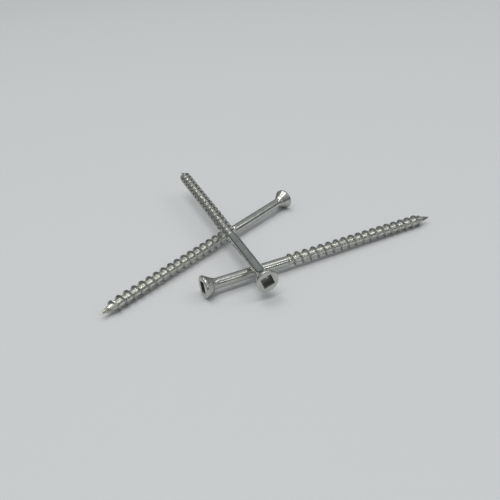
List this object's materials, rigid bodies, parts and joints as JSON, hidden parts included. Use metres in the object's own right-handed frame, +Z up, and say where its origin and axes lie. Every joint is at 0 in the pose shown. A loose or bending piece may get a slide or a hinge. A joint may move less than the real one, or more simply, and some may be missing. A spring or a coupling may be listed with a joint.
{
  "type": "wood screw",
  "caption": "Slim countersunk wood screws with square recesses, part-threaded shanks and notched points, lying loose with one across the others.",
  "frame": {"origin": "centre of the group's footprint, on the surface it lies on", "axes": "+Z up off the surface; +X along the longer side of the footprint, the way the right screw points; +Y across it"},
  "size_m": [0.0942, 0.075, 0.0095],
  "materials": {
    "steel": "polished"
  },
  "bodies": {
    "right_screw": {"right_screw": "steel"},
    "left_screw": {"left_screw": "steel"},
    "top_screw": {"top_screw": "steel"}
  },
  "joints": [
    {"name": "top_screw_lift", "type": "slide", "parent": "right_screw", "child": "top_screw", "axis": [0, 0, 1], "range_m": [0, 0.06]},
    {"name": "left_screw_draw", "type": "slide", "parent": "right_screw", "child": "left_screw", "axis": [0.6518, 0.7582, 0.0175], "range_m": [0, 0.06]}
  ]
}
